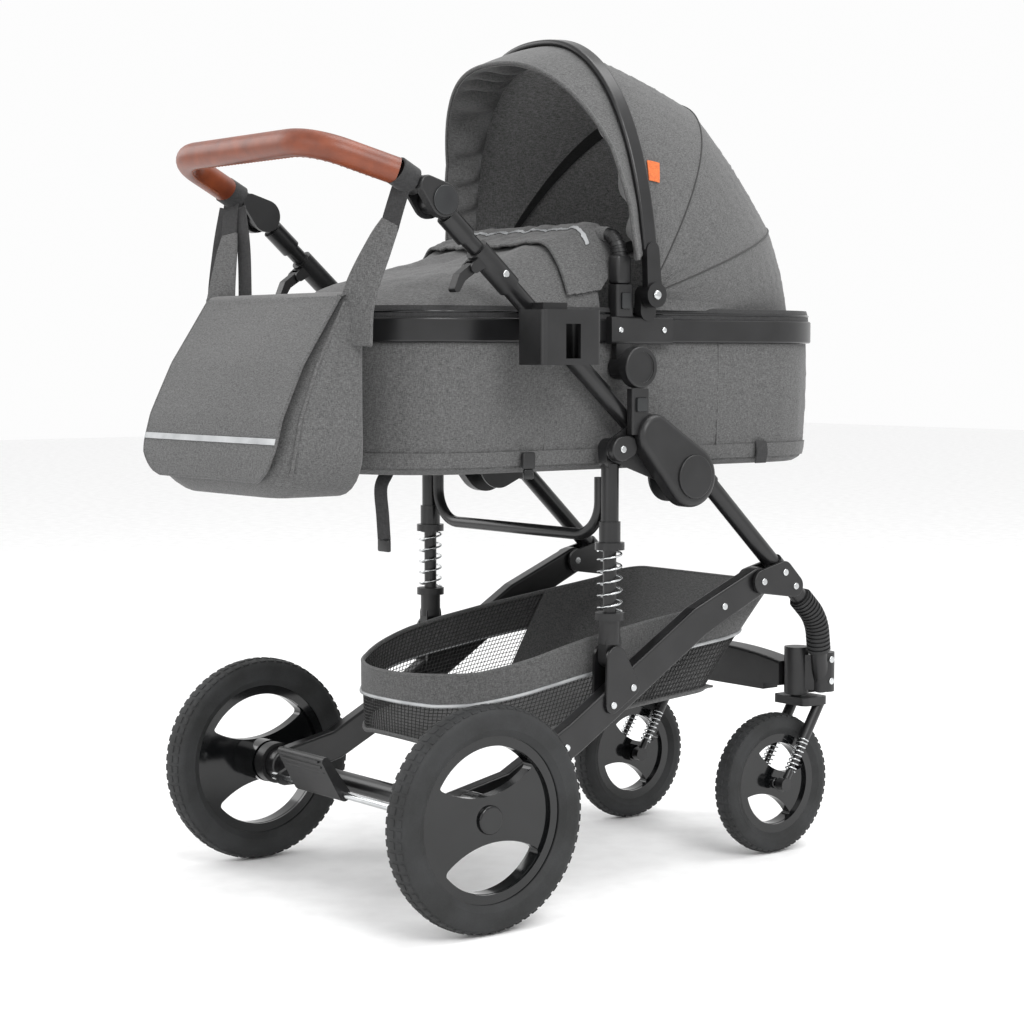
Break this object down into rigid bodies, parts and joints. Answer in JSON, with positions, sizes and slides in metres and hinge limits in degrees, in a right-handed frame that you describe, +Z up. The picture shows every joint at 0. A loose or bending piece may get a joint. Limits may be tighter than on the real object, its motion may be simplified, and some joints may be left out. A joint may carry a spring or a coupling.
{
  "type": "baby stroller",
  "caption": "Folding baby stroller with a carry cot, folding hood, tilting leather handle, swivelling sprung front wheels, rear struts, basket and changing bag.",
  "frame": {"origin": "on the floor under the middle of the whole stroller", "axes": "+X to the stroller's right side, +Y the way it travels, +Z up"},
  "size_m": [0.589, 0.9832, 1.1702],
  "materials": {
    "black_frame": "satin black powder coat on tube",
    "black_plastic": "fine-grained moulded black",
    "button_plastic": "smooth black",
    "bright_metal": "bright plated",
    "gloss_wheel": "gloss black moulding",
    "tyre_rubber": "air-tyre rubber with tread",
    "sleeve_rubber": "ribbed soft rubber",
    "brown_leather": "stitched tan leather, satin",
    "grey_fabric": "woven charcoal melange, matte",
    "mesh_fabric": "black mesh with grey woven bands"
  },
  "bodies": {
    "rear_frame": {"lower_beams": "black_frame", "axle_brackets": "black_plastic", "rear_axle_tube": "black_frame", "strut_plates": "black_frame", "beam_rivets": "bright_metal", "basket": "mesh_fabric"},
    "brake": {"brake_rod": "bright_metal", "brake_pedal": "black_plastic"},
    "rear_wheel_right": {"rear_tyre_right": "tyre_rubber", "rear_wheel_right": "gloss_wheel"},
    "rear_wheel_left": {"rear_tyre_left": "tyre_rubber", "rear_wheel_left": "gloss_wheel"},
    "front_chassis": {"front_legs": "black_frame", "leg_sleeves": "sleeve_rubber", "front_brackets": "black_plastic", "caster_housings": "black_plastic", "front_crossbar": "black_plastic", "hinge_housings": "black_plastic", "hinge_covers": "black_plastic", "adapter_posts": "black_plastic", "chassis_rivets": "bright_metal", "pivot_pins": "bright_metal"},
    "adapter_button_right": {"adapter_button_right": "button_plastic"},
    "adapter_button_left": {"adapter_button_left": "button_plastic"},
    "fork_right": {"fork_right": "black_plastic"},
    "fork_left": {"fork_left": "black_plastic"},
    "slider_right": {"fork_slider_right": "black_frame"},
    "slider_left": {"fork_slider_left": "black_frame"},
    "front_wheel_right": {"front_tyre_right": "tyre_rubber", "front_wheel_right": "gloss_wheel"},
    "front_wheel_left": {"front_tyre_left": "tyre_rubber", "front_wheel_left": "gloss_wheel"},
    "swivel_lock_right": {"swivel_lock_right": "black_plastic"},
    "swivel_lock_left": {"swivel_lock_left": "black_plastic"},
    "push_frame": {"push_tubes": "black_frame", "pivot_ears": "black_plastic", "tube_clamps": "black_plastic", "cup_bracket": "black_plastic", "push_rivets": "bright_metal"},
    "trigger_right": {"clamp_trigger_right": "black_plastic"},
    "trigger_left": {"clamp_trigger_left": "black_plastic"},
    "struts": {"strut_rods": "black_frame", "cross_tube": "black_frame"},
    "strut_foot_right": {"strut_foot_right": "black_plastic"},
    "strut_foot_left": {"strut_foot_left": "black_plastic"},
    "handle_slide": {"handle_tubes": "black_frame"},
    "handle": {"handle_joints": "black_plastic", "leather_grip": "brown_leather"},
    "bag": {"changing_bag": "grey_fabric"},
    "cot": {"tub": "grey_fabric", "cot_rim": "black_frame", "rim_connectors": "black_plastic", "boot_cover": "grey_fabric", "hood_rear_panel": "grey_fabric"},
    "bumper": {"bumper_bar": "grey_fabric"},
    "bumper_button_right": {"bumper_button_right": "button_plastic"},
    "bumper_button_left": {"bumper_button_left": "button_plastic"},
    "hood_front": {"carry_arch": "black_frame", "hood_front_panel": "grey_fabric"},
    "hood_middle": {"hood_middle_panel": "grey_fabric"}
  },
  "joints": [
    {"name": "frame_fold", "type": "hinge", "parent": "rear_frame", "child": "front_chassis", "pos_m": [0, 0.279, 0.408], "axis": [1, 0, 0], "range_deg": [-16.5, 0]},
    {"name": "handle_fold", "type": "hinge", "parent": "front_chassis", "child": "push_frame", "pos_m": [0, 0.126, 0.563], "axis": [1, 0, 0], "range_deg": [0, 37]},
    {"name": "strut_fold", "type": "hinge", "parent": "push_frame", "child": "struts", "pos_m": [0, 0.008, 0.603], "axis": [1, 0, 0], "range_deg": [-29, 0]},
    {"name": "strut_spring_right", "type": "slide", "parent": "struts", "child": "strut_foot_right", "axis": [0, 0, 1], "range_m": [0, 0.012], "stiffness_N_per_m": 4000, "springref_m": -0.001},
    {"name": "adapter_release_right", "type": "slide", "parent": "front_chassis", "child": "adapter_button_right", "axis": [1, 0, 0], "range_m": [-0.003, 0], "stiffness_N_per_m": 1200},
    {"name": "caster_swivel_right", "type": "hinge", "parent": "front_chassis", "child": "fork_right", "pos_m": [0.16, 0.41, 0.26], "axis": [0, 0, 1], "continuous": true},
    {"name": "fork_spring_right", "type": "slide", "parent": "fork_right", "child": "slider_right", "axis": [0, 0.534, 0.8455], "range_m": [0, 0.012], "stiffness_N_per_m": 20000, "springref_m": -0.004},
    {"name": "front_wheel_spin_right", "type": "hinge", "parent": "slider_right", "child": "front_wheel_right", "pos_m": [0.16, 0.36, 0.102], "axis": [1, 0, 0], "continuous": true},
    {"name": "swivel_lock_right_slide", "type": "slide", "parent": "front_chassis", "child": "swivel_lock_right", "axis": [0, 0, 1], "range_m": [0, 0.002]},
    {"name": "rear_wheel_spin_right", "type": "hinge", "parent": "rear_frame", "child": "rear_wheel_right", "pos_m": [0.273, -0.253, 0.145], "axis": [1, 0, 0], "continuous": true},
    {"name": "fold_trigger_right", "type": "hinge", "parent": "push_frame", "child": "trigger_right", "pos_m": [0, -0.225, 0.839], "axis": [1, 0, 0], "range_deg": [-18, 0], "stiffness_Nm_per_rad": 0.6, "springref_deg": 5.73},
    {"name": "bumper_release_right", "type": "slide", "parent": "cot", "child": "bumper_button_right", "axis": [1, 0, 0], "range_m": [-0.0015, 0], "stiffness_N_per_m": 1200},
    {"name": "strut_spring_left", "type": "slide", "parent": "struts", "child": "strut_foot_left", "axis": [0, 0, 1], "range_m": [0, 0.012], "stiffness_N_per_m": 4000, "springref_m": -0.001},
    {"name": "adapter_release_left", "type": "slide", "parent": "front_chassis", "child": "adapter_button_left", "axis": [-1, 0, 0], "range_m": [-0.003, 0], "stiffness_N_per_m": 1200},
    {"name": "caster_swivel_left", "type": "hinge", "parent": "front_chassis", "child": "fork_left", "pos_m": [-0.16, 0.41, 0.26], "axis": [0, 0, 1], "continuous": true},
    {"name": "fork_spring_left", "type": "slide", "parent": "fork_left", "child": "slider_left", "axis": [0, 0.534, 0.8455], "range_m": [0, 0.012], "stiffness_N_per_m": 20000, "springref_m": -0.004},
    {"name": "front_wheel_spin_left", "type": "hinge", "parent": "slider_left", "child": "front_wheel_left", "pos_m": [-0.16, 0.36, 0.102], "axis": [1, 0, 0], "continuous": true},
    {"name": "swivel_lock_left_slide", "type": "slide", "parent": "front_chassis", "child": "swivel_lock_left", "axis": [0, 0, 1], "range_m": [0, 0.002]},
    {"name": "rear_wheel_spin_left", "type": "hinge", "parent": "rear_frame", "child": "rear_wheel_left", "pos_m": [-0.273, -0.253, 0.145], "axis": [1, 0, 0], "continuous": true},
    {"name": "fold_trigger_left", "type": "hinge", "parent": "push_frame", "child": "trigger_left", "pos_m": [0, -0.225, 0.839], "axis": [1, 0, 0], "range_deg": [-18, 0], "stiffness_Nm_per_rad": 0.6, "springref_deg": 5.73},
    {"name": "bumper_release_left", "type": "slide", "parent": "cot", "child": "bumper_button_left", "axis": [-1, 0, 0], "range_m": [-0.0015, 0], "stiffness_N_per_m": 1200},
    {"name": "brake_press", "type": "hinge", "parent": "rear_frame", "child": "brake", "pos_m": [0, -0.288, 0.138], "axis": [1, 0, 0], "range_deg": [0, 20]},
    {"name": "handle_extend", "type": "slide", "parent": "push_frame", "child": "handle_slide", "axis": [0, -0.7524, 0.6587], "range_m": [-0.01, 0.06]},
    {"name": "handle_tilt", "type": "hinge", "parent": "handle_slide", "child": "handle", "pos_m": [0, -0.283, 0.921], "axis": [1, 0, 0], "range_deg": [-45, 0]},
    {"name": "bag_swing", "type": "hinge", "parent": "handle", "child": "bag", "pos_m": [0, -0.332, 0.93], "axis": [1, 0, 0], "range_deg": [-50, 0]},
    {"name": "cot_lift", "type": "slide", "parent": "front_chassis", "child": "cot", "axis": [0, 0, 1], "range_m": [0, 0.11]},
    {"name": "bumper_lift", "type": "slide", "parent": "cot", "child": "bumper", "axis": [0, 0, 1], "range_m": [0, 0.02]},
    {"name": "hood_fold", "type": "hinge", "parent": "cot", "child": "hood_front", "pos_m": [0, 0.078, 0.809], "axis": [1, 0, 0], "range_deg": [-49, 0]},
    {"name": "hood_rib_fold", "type": "hinge", "parent": "cot", "child": "hood_middle", "pos_m": [0, 0.078, 0.809], "axis": [1, 0, 0], "range_deg": [-20, 0]}
  ],
  "couplings": [
    {"joint": "handle_fold", "follows": "frame_fold", "ratio": -2.17},
    {"joint": "strut_fold", "follows": "frame_fold", "ratio": 1.69},
    {"joint": "hood_rib_fold", "follows": "hood_fold", "ratio": 0.4}
  ]
}
